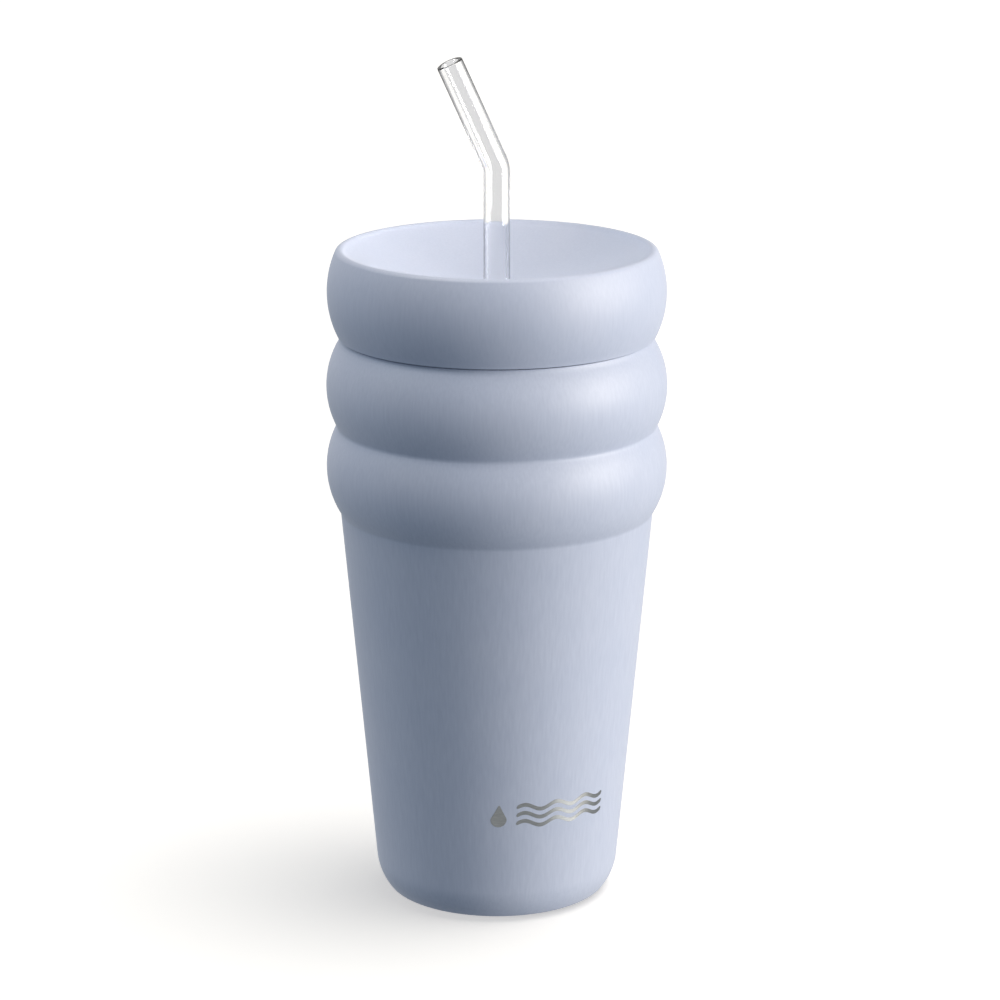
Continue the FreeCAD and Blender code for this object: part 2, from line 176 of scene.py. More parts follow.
outer_shell = turn_piece("outer_shell_coated", [
    (PAN_RADIUS, FOOT_GAP),
    (FOOT_RADIUS, FOOT_GAP, FOOT_ROUND),
    (*FOOT_CORNER, CORNER_ROUND),
    CONE_FOOT,
    (*CONE_TOP, LOWER_RING_ROUND),
    (*RING_GROOVE, UPPER_RING_ROUND),
    (MOUTH_RADIUS, MOUTH - LIP_ROUND, LIP_ROUND),
    (MOUTH_RADIUS - LIP_ROUND, MOUTH),
    (MOUTH_RADIUS - WALL, MOUTH),
    (MOUTH_RADIUS - WALL, MOUTH - WELD_LAND, -UPPER_RING_ROUND),
    (RING_GROOVE[0] - WALL, RING_GROOVE[1], -LOWER_RING_ROUND),
    (CONE_TOP[0] - WALL, CONE_TOP[1]),
    (CONE_FOOT[0] - WALL, CONE_FOOT[1], -(CORNER_ROUND - WALL)),
    (FOOT_RADIUS_INSIDE, FOOT_GAP + WALL),
    (PAN_RADIUS, FOOT_GAP + WALL),
])

# The valleys between the rings are rounded by the press tool and filled a little by the coating.
bpy.ops.object.mode_set(mode="EDIT")
bpy.ops.mesh.select_mode(type="EDGE")
bpy.ops.mesh.select_all(action="DESELECT")
bpy.ops.object.mode_set(mode="OBJECT")
for edge in outer_shell.data.edges:
    ends = [outer_shell.data.vertices[index].co / MM for index in edge.vertices]
    for radius, height in (CONE_TOP, RING_GROOVE):
        if all(abs(end.xy.length - radius) < SAME_PLACE and abs(end.z - height) < SAME_PLACE
               for end in ends):
            edge.select = True
bpy.ops.object.mode_set(mode="EDIT")
bpy.ops.mesh.bevel(offset=GROOVE_FILLET * MM, segments=4, affect="EDGES")
bpy.ops.object.mode_set(mode="OBJECT")
finish_edges(outer_shell)

# Powder coat: polyester powder, sprayed on and baked. It is satin, with a fine 0.4 mm orange-peel
# skin. The brushed sheet under it leaves faint upright streaks about 0.55 mm wide, and two close
# tints cloud it over 18 mm.
powder_coat, tree = new_material("lavender_powder_coat")
place = add_node(tree, "ShaderNodeTexCoord", {})
millimetres = add_node(tree, "ShaderNodeMapping",
                       {"Vector": place.outputs["Object"], "Scale": (1000, 1000, 1000)})
upright = add_node(tree, "ShaderNodeMapping",
                   {"Vector": place.outputs["Object"], "Scale": (1000, 1000, 70)})
clouds = add_node(tree, "ShaderNodeTexNoise",
                  {"Vector": millimetres.outputs[0], "Scale": 1 / 18, "Detail": 4.0})
streaks = add_node(tree, "ShaderNodeTexNoise",
                   {"Vector": upright.outputs[0], "Scale": 1 / 0.55, "Detail": 3.0})
peel = add_node(tree, "ShaderNodeTexNoise",
                {"Vector": millimetres.outputs[0], "Scale": 1 / 0.4, "Detail": 2.0})
tint = add_node(tree, "ShaderNodeMix",
                {0: clouds.outputs[0], 6: linear("#b8c1d4"), 7: linear("#c2c9d9")},
                data_type="RGBA")
streaked = add_node(tree, "ShaderNodeMix",
                    {0: streaks.outputs[0], 6: linear("#e9ebef"), 7: linear("#ffffff")},
                    data_type="RGBA")
coat_colour = add_node(tree, "ShaderNodeMix",
                       {0: 1.0, 6: tint.outputs[2], 7: streaked.outputs[2]},
                       data_type="RGBA", blend_type="MULTIPLY")
satin = add_node(tree, "ShaderNodeMapRange",
                 {"Value": peel.outputs[0], "To Min": 0.42, "To Max": 0.54})
skin = add_node(tree, "ShaderNodeBump",
                {"Height": peel.outputs[0], "Strength": 0.25, "Distance": 0.02 * MM})
coat = add_node(tree, "ShaderNodeBsdfPrincipled",
                {"Base Color": coat_colour.outputs[2], "Roughness": satin.outputs[0],
                 "IOR": 1.5, "Normal": skin.outputs[0]})
add_node(tree, "ShaderNodeOutputMaterial", {"Surface": coat.outputs[0]})

# Stainless steel, polished after welding and left bare at the lip and inside: turning marks about
# 0.15 mm apart run round it, so light spreads upwards and downwards.
bare_steel, tree = new_material("brushed_stainless_steel")
place = add_node(tree, "ShaderNodeTexCoord", {})
round_marks = add_node(tree, "ShaderNodeMapping",
                       {"Vector": place.outputs["Object"], "Scale": (60, 60, 1000)})
marks = add_node(tree, "ShaderNodeTexNoise",
                 {"Vector": round_marks.outputs[0], "Scale": 1 / 0.15, "Detail": 3.0})
steel_gloss = add_node(tree, "ShaderNodeMapRange",
                       {"Value": marks.outputs[0], "To Min": 0.22, "To Max": 0.38})
scratches = add_node(tree, "ShaderNodeBump",
                     {"Height": marks.outputs[0], "Strength": 0.3, "Distance": 0.01 * MM})
steel = add_node(tree, "ShaderNodeBsdfPrincipled",
                 {"Base Color": linear("#d0d0cf"), "Metallic": 1.0,
                  "Roughness": steel_gloss.outputs[0], "Normal": scratches.outputs[0]})
add_node(tree, "ShaderNodeOutputMaterial", {"Surface": steel.outputs[0]})

outer_shell.data.materials.append(powder_coat)
outer_shell.data.materials.append(bare_steel)
for face in outer_shell.data.polygons:
    inside = face.normal.xy.dot(face.center.xy) < 0 and face.center.z > COAT_INSIDE_FOOT * MM
    on_lip = face.center.z > (MOUTH - BARE_LIP) * MM
    face.material_index = 1 if inside or on_lip else 0
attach(outer_shell, "vessel")
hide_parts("outer_shell")


# ---- Etched mark ---------------------------------------------------------------------------
# A maker's mark low on the front, burnt through the coat by laser down to bare steel: a drop and
# three ripples, 34 mm long round the cup and 7 mm tall.

MARK_HEIGHT = 30.9
MARK_TURN = 25.0
MARK_LIFT = 0.04
MARK_THICKNESS = 0.2
DROP_RADIUS = 2.1
DROP_CENTRE = -14.6
DROP_PINCH = 0.55
DROP_STRETCH = 2.0
DROP_LOWERED = 1.0
DROP_STEPS = 72
RIPPLE_LENGTH = 27.0
RIPPLE_STEPS = 96
RIPPLE_START = -10.0
RIPPLE_WIDTH = 1.1
RIPPLE_SWING = 0.75
RIPPLE_WAVE = 9.0
RIPPLE_PITCH = 2.3


def lay_on_shell(piece):
    """Wrap a flat drawing (x along, z up, millimetres) round the cone, as far as the mark's place."""
    slope = (CONE_TOP[0] - CONE_FOOT[0]) / (CONE_TOP[1] - CONE_FOOT[1])
    for vertex in piece.data.vertices:
        along, up = vertex.co.x / MM, vertex.co.z / MM
        height = MARK_HEIGHT + up
        radius = CONE_FOOT[0] + slope * (height - CONE_FOOT[1]) + MARK_LIFT
        angle = math.radians(MARK_TURN) + along / radius
        vertex.co = (radius * math.sin(angle) * MM, -radius * math.cos(angle) * MM, height * MM)


bpy.ops.object.select_all(action="DESELECT")
bpy.ops.mesh.primitive_circle_add(vertices=DROP_STEPS, radius=DROP_RADIUS * MM, fill_type="TRIFAN",
                                  location=(DROP_CENTRE * MM, 0, 0), rotation=(math.pi / 2, 0, 0))
bpy.ops.object.transform_apply()
drop = bpy.context.object
# The drop's upper half is drawn up to a point.
for vertex in drop.data.vertices:
    if vertex.co.z > 0:
        share = vertex.co.z / MM / DROP_RADIUS
        off_centre = vertex.co.x - DROP_CENTRE * MM
        vertex.co.x = DROP_CENTRE * MM + off_centre * (1 - DROP_PINCH * share ** 2)
        vertex.co.z += DROP_STRETCH * MM * share ** 3
    vertex.co.z -= DROP_LOWERED * MM

mark_parts = [drop]
for row in (-1, 0, 1):
    bpy.ops.mesh.primitive_grid_add(x_subdivisions=RIPPLE_STEPS, y_subdivisions=2, size=1,
                                    rotation=(math.pi / 2, 0, 0))
    ripple = bpy.context.object
    bpy.ops.transform.resize(value=(RIPPLE_LENGTH * MM, 1, RIPPLE_WIDTH * MM))
    bpy.ops.object.transform_apply()
    for vertex in ripple.data.vertices:
        along = vertex.co.x / MM + RIPPLE_LENGTH / 2
        end_distance = min(along, RIPPLE_LENGTH - along, RIPPLE_WIDTH / 2)
        roundness = math.sqrt(max(0.0, 1 - (1 - 2 * end_distance / RIPPLE_WIDTH) ** 2))
        wave = RIPPLE_SWING * math.sin(math.tau * along / RIPPLE_WAVE)
        vertex.co.z = vertex.co.z * roundness + (wave + row * RIPPLE_PITCH) * MM
        vertex.co.x += (RIPPLE_START + RIPPLE_LENGTH / 2) * MM
    mark_parts.append(ripple)
bpy.ops.object.select_all(action="DESELECT")
for part in mark_parts:
    part.select_set(True)
bpy.context.view_layer.objects.active = drop
bpy.ops.object.join()
mark = bpy.context.object
mark.name = mark.data.name = "etched_mark"
bpy.ops.object.mode_set(mode="EDIT")
bpy.ops.mesh.select_all(action="SELECT")
bpy.ops.mesh.remove_doubles(threshold=0.002 * MM)
bpy.ops.object.mode_set(mode="OBJECT")
lay_on_shell(mark)
bpy.ops.object.mode_set(mode="EDIT")
bpy.ops.mesh.select_all(action="SELECT")
bpy.ops.mesh.normals_make_consistent(inside=False)
bpy.ops.object.mode_set(mode="OBJECT")
sink = mark.modifiers.new("sink", "SOLIDIFY")
sink.thickness = MARK_THICKNESS * MM
sink.offset = -1.0
bpy.ops.object.modifier_apply(modifier="sink")

# Laser-etched stainless steel: grey, and finely hatched by the beam, 0.16 mm from line to line. The
# lines run round the cup, so light spreads up and down, and the mark brightens towards the lamps.
etched_steel, tree = new_material("laser_etched_steel")
place = add_node(tree, "ShaderNodeTexCoord", {})
hatch_space = add_node(tree, "ShaderNodeMapping",
                       {"Vector": place.outputs["Object"], "Scale": (100, 100, 1000)})
hatch = add_node(tree, "ShaderNodeTexNoise",
                 {"Vector": hatch_space.outputs[0], "Scale": 1 / 0.16, "Detail": 2.0})
etch_tint = add_node(tree, "ShaderNodeMix",
                     {0: hatch.outputs[0], 6: linear("#777a7c"), 7: linear("#9fa3a4")},
                     data_type="RGBA")
etch_skin = add_node(tree, "ShaderNodeBump",
                     {"Height": hatch.outputs[0], "Strength": 0.3, "Distance": 0.01 * MM})
round_cup = add_node(tree, "ShaderNodeTangent", {}, direction_type="RADIAL", axis="Z")
etched = add_node(tree, "ShaderNodeBsdfPrincipled",
                  {"Base Color": etch_tint.outputs[2], "Metallic": 1.0, "Roughness": 0.4,
                   "Anisotropic": 0.9, "Anisotropic Rotation": 0.25,
                   "Tangent": round_cup.outputs[0], "Normal": etch_skin.outputs[0]})
add_node(tree, "ShaderNodeOutputMaterial", {"Surface": etched.outputs[0]})
mark.data.materials.append(etched_steel)
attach(mark, "vessel")


# ---- Inner liner ---------------------------------------------------------------------------
# The cup that holds the drink: 0.6 mm stainless steel, deep-drawn, with a straight collar for the
# lid's gasket. It is left bare, and its lip is ground smooth after welding to the outer shell.

COLLAR_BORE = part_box("inner_liner")[1].x / MM - WALL
COLLAR_FOOT = 130.9
LINER_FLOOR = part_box("inner_liner")[0].z / MM + WALL
LINER_FLOOR_RADIUS = 19.24
LINER_ROUND = 9.0
LINER_FOOT = (28.19, 16.0)

inner_liner = turn_piece("inner_liner_drawn", [
    (0, LINER_FLOOR - WALL),
    (LINER_FLOOR_RADIUS, LINER_FLOOR - WALL, LINER_ROUND + WALL),
    (LINER_FOOT[0] + WALL, LINER_FOOT[1]),
    (COLLAR_BORE + WALL, COLLAR_FOOT),
    (COLLAR_BORE + WALL, MOUTH),
    (COLLAR_BORE + LIP_ROUND, MOUTH, LIP_ROUND),
    (COLLAR_BORE, MOUTH - LIP_ROUND),
    (COLLAR_BORE, COLLAR_FOOT),
    (*LINER_FOOT, -LINER_ROUND),
    (LINER_FLOOR_RADIUS, LINER_FLOOR),
    (0, LINER_FLOOR),
])
finish_edges(inner_liner)
inner_liner.data.materials.append(bare_steel)
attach(inner_liner, "vessel")
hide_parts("inner_liner")


# ---- Base pad ------------------------------------------------------------------------------
# A soft silicone disc stuck into the foot so that the cup neither slips nor rings. Two shallow
# grooves are moulded round its underside to let water out from under it.

PAD_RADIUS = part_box("base_pad")[1].x / MM
PAD_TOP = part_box("base_pad")[1].z / MM
PAD_ROUND = 0.5
GROOVE_RADII = (12.0, 19.0)
GROOVE_DEPTH = 0.5
GROOVE_WIDTH = 1.2

pad_corners = [(0, 0)]
for groove_radius in GROOVE_RADII:
    pad_corners += [
        (groove_radius, 0),
        (groove_radius + GROOVE_DEPTH, GROOVE_DEPTH),
        (groove_radius + GROOVE_DEPTH + GROOVE_WIDTH, GROOVE_DEPTH),
        (groove_radius + 2 * GROOVE_DEPTH + GROOVE_WIDTH, 0),
    ]
pad_corners += [
    (PAD_RADIUS - PAD_ROUND, 0, PAD_ROUND),
    (PAD_RADIUS, PAD_ROUND),
    (PAD_RADIUS, PAD_TOP),
    (0, PAD_TOP),
]
base_pad = turn_piece("base_pad_moulded", pad_corners)
finish_edges(base_pad)

# Silicone rubber, moulded against a sandblasted tool: matte, faintly see-through, 0.3 mm grain.
pad_silicone, tree = new_material("moulded_silicone_rubber")
place = add_node(tree, "ShaderNodeTexCoord", {})
millimetres = add_node(tree, "ShaderNodeMapping",
                       {"Vector": place.outputs["Object"], "Scale": (1000, 1000, 1000)})
grain = add_node(tree, "ShaderNodeTexNoise",
                 {"Vector": millimetres.outputs[0], "Scale": 1 / 0.3, "Detail": 2.0})
pad_tint = add_node(tree, "ShaderNodeMix",
                    {0: grain.outputs[0], 6: linear("#9aa6bf"), 7: linear("#a6b1c8")},
                    data_type="RGBA")
grain_skin = add_node(tree, "ShaderNodeBump",
                      {"Height": grain.outputs[0], "Strength": 0.4, "Distance": 0.03 * MM})
silicone = add_node(tree, "ShaderNodeBsdfPrincipled",
                    {"Base Color": pad_tint.outputs[2], "Roughness": 0.62, "IOR": 1.41,
                     "Subsurface Weight": 0.15, "Subsurface Radius": (1.0, 1.0, 1.0),
                     "Subsurface Scale": 0.6 * MM, "Normal": grain_skin.outputs[0]})
add_node(tree, "ShaderNodeOutputMaterial", {"Surface": silicone.outputs[0]})
base_pad.data.materials.append(pad_silicone)
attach(base_pad, "vessel")
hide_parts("base_pad")


# ---- Hidden pieces of the vacuum jacket ------------------------------------------------------
# The pressed base pan and its clip, the copper foil round the liner, the solder-glass bead over
# the pump-out hole and the getter pellet keep the shapes that they are pressed or cast to.

# Copper foil, rolled thin and wrapped round the liner: bright and warm, creased about every 6 mm.
copper, tree = new_material("rolled_copper_foil")
place = add_node(tree, "ShaderNodeTexCoord", {})
rolled = add_node(tree, "ShaderNodeMapping",
                  {"Vector": place.outputs["Object"], "Scale": (1000, 1000, 120)})
wrinkles = add_node(tree, "ShaderNodeTexNoise",
                    {"Vector": rolled.outputs[0], "Scale": 1 / 6, "Detail": 3.0})
crumple = add_node(tree, "ShaderNodeBump",
                   {"Height": wrinkles.outputs[0], "Strength": 0.5, "Distance": 0.2 * MM})
foil = add_node(tree, "ShaderNodeBsdfPrincipled",
                {"Base Color": linear("#d98f6c"), "Metallic": 1.0, "Roughness": 0.22,
                 "Normal": crumple.outputs[0]})
add_node(tree, "ShaderNodeOutputMaterial", {"Surface": foil.outputs[0]})

# Solder glass, melted over the hole in the vacuum oven: dark and glossy, with 0.5 mm bubbles.
solder_glass, tree = new_material("fused_solder_glass")
place = add_node(tree, "ShaderNodeTexCoord", {})
bubbles = add_node(tree, "ShaderNodeTexVoronoi",
                   {"Vector": place.outputs["Object"], "Scale": 1 / (0.5 * MM)})
bead_tint = add_node(tree, "ShaderNodeMix",
                     {0: bubbles.outputs["Distance"], 6: linear("#2c2622"), 7: linear("#4a423c")},
                     data_type="RGBA")
bead = add_node(tree, "ShaderNodeBsdfPrincipled",
                {"Base Color": bead_tint.outputs[2], "Roughness": 0.12, "IOR": 1.7})
add_node(tree, "ShaderNodeOutputMaterial", {"Surface": bead.outputs[0]})

# Getter alloy, sintered from powder: a dull grey metal with 0.25 mm pores.
getter_alloy, tree = new_material("sintered_getter_alloy")
place = add_node(tree, "ShaderNodeTexCoord", {})
pores = add_node(tree, "ShaderNodeTexNoise",
                 {"Vector": place.outputs["Object"], "Scale": 1 / (0.25 * MM), "Detail": 3.0})
pellet_tint = add_node(tree, "ShaderNodeMix",
                       {0: pores.outputs[0], 6: linear("#4c4c4f"), 7: linear("#737377")},
                       data_type="RGBA")
rough_pores = add_node(tree, "ShaderNodeBump",
                       {"Height": pores.outputs[0], "Strength": 0.6, "Distance": 0.05 * MM})
pellet = add_node(tree, "ShaderNodeBsdfPrincipled",
                  {"Base Color": pellet_tint.outputs[2], "Metallic": 0.6, "Roughness": 0.7,
                   "Normal": rough_pores.outputs[0]})
add_node(tree, "ShaderNodeOutputMaterial", {"Surface": pellet.outputs[0]})

hidden_finishes = {"base_pan": bare_steel, "getter_clip": bare_steel, "copper_foil": copper,
                   "vacuum_seal": solder_glass, "getter_pellet": getter_alloy}
for node_name, finish in hidden_finishes.items():
    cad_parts[node_name].data.materials.clear()
    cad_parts[node_name].data.materials.append(finish)


# ---- Lid cover -------------------------------------------------------------------------------
# The lid's top: injection-moulded polypropylene, tinted to the coat. It is the third ring, with a
# rounded rim about a shallow dish, and a stepped hole in the middle for the straw's grommet.

LID_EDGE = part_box("lid_cover")[0].z / MM
RIM_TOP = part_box("lid_cover")[1].z / MM
RIM_ROUND = 1.5
RIM_CENTRE = 40.93
RIM_LEAN = math.radians(24.38)
RIM_ROLL = math.radians(58)
DISH_ROUND = 95.0
DISH_FLOOR = 165.25
COVER_WALL = 2.2
COVER_HOLE = 6.0
RECESS_RADIUS = 8.8
RECESS_DEPTH = 0.9
RECESS_WALL = 0.75
COVER_UNDERSIDE = DISH_FLOOR - RECESS_DEPTH - RECESS_WALL
TUBE_RADIUS = 9.8
HOLLOW_BEND = (37.6, 170.6)
HOLLOW_TOP = (41.4, 171.0)
LID_RING_ROUND = 25.8
WELD_HEIGHT = 154.8
RIB_RADIUS = 38.6
RIB_ROOT = 41.1
RIB_HEIGHT = 2.0
REBATE_RADIUS = 40.2
EDGE_INSIDE = 41.5
EDGE_OUTSIDE = 41.79
EDGE_RISE = 0.2
EDGE_ROUND = 0.25

lid_cover = turn_piece("lid_cover_moulded", [
    (COVER_HOLE, COVER_UNDERSIDE),
    (TUBE_RADIUS, COVER_UNDERSIDE, DISH_ROUND + COVER_WALL),
    HOLLOW_BEND,
    (*HOLLOW_TOP, -LID_RING_ROUND),
    (RIB_ROOT, WELD_HEIGHT + RIB_HEIGHT),
    (RIB_RADIUS, WELD_HEIGHT + RIB_HEIGHT),
    (RIB_RADIUS, WELD_HEIGHT),
    (REBATE_RADIUS, WELD_HEIGHT),
    (REBATE_RADIUS, LID_EDGE),
    (EDGE_INSIDE, LID_EDGE, EDGE_ROUND),
    (EDGE_OUTSIDE, LID_EDGE + EDGE_RISE, LID_RING_ROUND),
    (RIM_CENTRE + RIM_ROUND * math.cos(RIM_LEAN),
     RIM_TOP - RIM_ROUND + RIM_ROUND * math.sin(RIM_LEAN), RIM_ROUND),
    (RIM_CENTRE, RIM_TOP, RIM_ROUND),
    (RIM_CENTRE - RIM_ROUND * math.sin(RIM_ROLL),
     RIM_TOP - RIM_ROUND + RIM_ROUND * math.cos(RIM_ROLL), -DISH_ROUND),
    (RECESS_RADIUS, DISH_FLOOR),
    (RECESS_RADIUS, DISH_FLOOR - RECESS_DEPTH),
    (COVER_HOLE, DISH_FLOOR - RECESS_DEPTH),
])
finish_edges(lid_cover)

# Polypropylene, moulded against a lightly etched tool: satin, a little see-through at thin edges,
# with a 0.25 mm grain, 15 mm clouds from the tint's mixing and faint upright 0.6 mm flow lines.
lid_plastic, tree = new_material("satin_polypropylene")
place = add_node(tree, "ShaderNodeTexCoord", {})
millimetres = add_node(tree, "ShaderNodeMapping",
                       {"Vector": place.outputs["Object"], "Scale": (1000, 1000, 1000)})
clouds = add_node(tree, "ShaderNodeTexNoise",
                  {"Vector": millimetres.outputs[0], "Scale": 1 / 15, "Detail": 4.0})
tool_grain = add_node(tree, "ShaderNodeTexNoise",
                      {"Vector": millimetres.outputs[0], "Scale": 1 / 0.25, "Detail": 2.0})
upright = add_node(tree, "ShaderNodeMapping",
                   {"Vector": place.outputs["Object"], "Scale": (1000, 1000, 90)})
flow_lines = add_node(tree, "ShaderNodeTexNoise",
                      {"Vector": upright.outputs[0], "Scale": 1 / 0.6, "Detail": 3.0})
lid_pigment = add_node(tree, "ShaderNodeMix",
                       {0: clouds.outputs[0], 6: linear("#b8c1d4"), 7: linear("#c1c8d9")},
                       data_type="RGBA")
flow_shade = add_node(tree, "ShaderNodeMix",
                      {0: flow_lines.outputs[0], 6: linear("#eef0f3"), 7: linear("#ffffff")},
                      data_type="RGBA")
lid_tint = add_node(tree, "ShaderNodeMix",
                    {0: 1.0, 6: lid_pigment.outputs[2], 7: flow_shade.outputs[2]},
                    data_type="RGBA", blend_type="MULTIPLY")
lid_gloss = add_node(tree, "ShaderNodeMapRange",
                     {"Value": tool_grain.outputs[0], "To Min": 0.44, "To Max": 0.56})
lid_skin = add_node(tree, "ShaderNodeBump",
                    {"Height": tool_grain.outputs[0], "Strength": 0.2, "Distance": 0.015 * MM})
plastic = add_node(tree, "ShaderNodeBsdfPrincipled",
                   {"Base Color": lid_tint.outputs[2], "Roughness": lid_gloss.outputs[0],
                    "IOR": 1.49, "Subsurface Weight": 0.08, "Subsurface Radius": (1.0, 1.0, 1.0),
                    "Subsurface Scale": 0.8 * MM, "Normal": lid_skin.outputs[0]})
add_node(tree, "ShaderNodeOutputMaterial", {"Surface": plastic.outputs[0]})
lid_cover.data.materials.append(lid_plastic)
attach(lid_cover, "lid")
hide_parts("lid_cover")


# ---- Lid plug --------------------------------------------------------------------------------
# The lid's underside: the same polypropylene, spin-welded to the cover at its flange. It closes
# the hollow ring, carries the gasket in a groove and has a tube round the straw. A shallow ring is
# sunk into its floor.

PLUG_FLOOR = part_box("lid_plug")[0].z / MM
PLUG_RADIUS = 38.2
PLUG_BORE = 34.4
PLUG_WALL = 2.2
PLUG_ROUND = 3.0
SUNK_RING = (24.0, 31.4)
SUNK_DEPTH = 0.4
FLANGE_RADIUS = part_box("lid_plug")[1].x / MM
SEAT_GAP = 0.15
GASKET_SEAT = (144.5, 148.5)
GASKET_SEAT_DEPTH = 1.8
GASKET_SEAT_RADIUS = PLUG_RADIUS - GASKET_SEAT_DEPTH
TUBE_BORE = 8.0
TUBE_CHAMFER = 0.3

lid_plug = turn_piece("lid_plug_moulded", [
    (TUBE_BORE, PLUG_FLOOR + TUBE_CHAMFER),
    (TUBE_BORE + TUBE_CHAMFER, PLUG_FLOOR),
    (SUNK_RING[0], PLUG_FLOOR),
    (SUNK_RING[0] + SUNK_DEPTH, PLUG_FLOOR + SUNK_DEPTH),
    (SUNK_RING[1] - SUNK_DEPTH, PLUG_FLOOR + SUNK_DEPTH),
    (SUNK_RING[1], PLUG_FLOOR),
    (PLUG_RADIUS - PLUG_ROUND, PLUG_FLOOR, PLUG_ROUND),
    (PLUG_RADIUS, PLUG_FLOOR + PLUG_ROUND),
    (PLUG_RADIUS, GASKET_SEAT[0]),
    (GASKET_SEAT_RADIUS, GASKET_SEAT[0]),
    (GASKET_SEAT_RADIUS, GASKET_SEAT[1]),
    (PLUG_RADIUS, GASKET_SEAT[1]),
    (PLUG_RADIUS, MOUTH + SEAT_GAP),
    (FLANGE_RADIUS, MOUTH + SEAT_GAP),
    (FLANGE_RADIUS, WELD_HEIGHT),
    (PLUG_BORE, WELD_HEIGHT),
    (PLUG_BORE, PLUG_FLOOR + PLUG_WALL),
    (TUBE_RADIUS, PLUG_FLOOR + PLUG_WALL),
    (TUBE_RADIUS, COVER_UNDERSIDE),
    (TUBE_BORE, COVER_UNDERSIDE),
])
finish_edges(lid_plug)
lid_plug.data.materials.append(lid_plastic)
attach(lid_plug, "lid")
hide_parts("lid_plug")


# ---- Lid gasket ------------------------------------------------------------------------------
# A moulded silicone ring in the plug's groove. Its two thin lips lean upwards, wipe the liner's
# collar and hold the lid in by friction.

GASKET_GAP = 0.1
GASKET_BORE = GASKET_SEAT_RADIUS + GASKET_GAP
GASKET_ROOT = 37.8
GASKET_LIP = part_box("lid_gasket")[1].x / MM
GASKET_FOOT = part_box("lid_gasket")[0].z / MM
GASKET_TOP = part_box("lid_gasket")[1].z / MM
WIPER_PITCH = 2.1
WIPER_RISE = 1.0
WIPER_ROOT = 0.9
WIPER_TIP = 0.45
WIPER_TIP_ROUND = 0.25
WIPER_INSET = 0.1

gasket_corners = [(GASKET_BORE, GASKET_FOOT)]
for root in (GASKET_FOOT, GASKET_FOOT + WIPER_PITCH):
    gasket_corners += [
        (GASKET_ROOT, root),
        (GASKET_LIP - WIPER_INSET, root + WIPER_RISE, WIPER_TIP_ROUND),
        (GASKET_LIP - WIPER_INSET, root + WIPER_RISE + WIPER_TIP),
        (GASKET_ROOT, root + WIPER_ROOT),
    ]
gasket_corners += [(GASKET_ROOT, GASKET_TOP), (GASKET_BORE, GASKET_TOP)]
lid_gasket = turn_piece("lid_gasket_moulded", gasket_corners)
finish_edges(lid_gasket)

# Food-grade silicone with no pigment: milky in 8 mm clouds, soft-looking, glossy where it was
# pressed.
clear_silicone, tree = new_material("milky_silicone_rubber")
place = add_node(tree, "ShaderNodeTexCoord", {})
milk = add_node(tree, "ShaderNodeTexNoise",
                {"Vector": place.outputs["Object"], "Scale": 1 / (8 * MM), "Detail": 3.0})
milk_tint = add_node(tree, "ShaderNodeMix",
                     {0: milk.outputs[0], 6: linear("#dfe3e8"), 7: linear("#eceff2")},
                     data_type="RGBA")
milky = add_node(tree, "ShaderNodeBsdfPrincipled",
                 {"Base Color": milk_tint.outputs[2], "Roughness": 0.38, "IOR": 1.41,
                  "Subsurface Weight": 0.4, "Subsurface Radius": (1.0, 1.0, 1.0),
                  "Subsurface Scale": 1.0 * MM})
add_node(tree, "ShaderNodeOutputMaterial", {"Surface": milky.outputs[0]})
lid_gasket.data.materials.append(clear_silicone)
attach(lid_gasket, "lid_seal")
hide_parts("lid_gasket")


# ---- Straw grommet ---------------------------------------------------------------------------
# A silicone bush snapped flush into the cover's hole; two ribs in its bore grip the straw. A small
# hole beside the straw lets air into the cup as the drink goes down.

GROMMET_GAP = 0.1
GROMMET_BORE = 3.55
GROMMET_RELIEF = 0.4
GROMMET_ROUND = 0.35
GRIP_LENGTH = 1.7
GROMMET_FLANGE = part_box("straw_grommet")[1].x / MM
GROMMET_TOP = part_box("straw_grommet")[1].z / MM
GROMMET_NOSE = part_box("straw_grommet")[0].z / MM
GROMMET_FLANGE_THICKNESS = 0.7
GROMMET_SEAT = GROMMET_TOP - GROMMET_FLANGE_THICKNESS
GROMMET_NECK = COVER_HOLE - GROMMET_GAP
NOSE_RADIUS = 5.2
BARB_RADIUS = 7.4
BARB_RISE = 3.6
BARB_TOP = COVER_UNDERSIDE - GROMMET_GAP
VENT_OFFSET = 4.75
VENT_RADIUS = 0.5
VENT_STEPS = 32
DRILL_LENGTH = 20

grommet = turn_piece("straw_grommet_moulded", [
    (GROMMET_BORE, GROMMET_NOSE),
    (NOSE_RADIUS, GROMMET_NOSE),
    (BARB_RADIUS, GROMMET_NOSE + BARB_RISE),
    (BARB_RADIUS, BARB_TOP),
    (GROMMET_NECK, BARB_TOP),
    (GROMMET_NECK, GROMMET_SEAT),
    (GROMMET_FLANGE, GROMMET_SEAT),
    (GROMMET_FLANGE, GROMMET_TOP - GROMMET_ROUND, GROMMET_ROUND),
    (GROMMET_FLANGE - GROMMET_ROUND, GROMMET_TOP),
    (GROMMET_BORE + GROMMET_ROUND, GROMMET_TOP, GROMMET_ROUND),
    (GROMMET_BORE, GROMMET_TOP - GROMMET_ROUND),
    (GROMMET_BORE, GROMMET_TOP - GRIP_LENGTH),
    (GROMMET_BORE + GROMMET_RELIEF, GROMMET_TOP - GRIP_LENGTH - GROMMET_ROUND),
    (GROMMET_BORE + GROMMET_RELIEF, GROMMET_NOSE + GRIP_LENGTH + GROMMET_ROUND),
    (GROMMET_BORE, GROMMET_NOSE + GRIP_LENGTH),
])
bpy.ops.object.select_all(action="DESELECT")
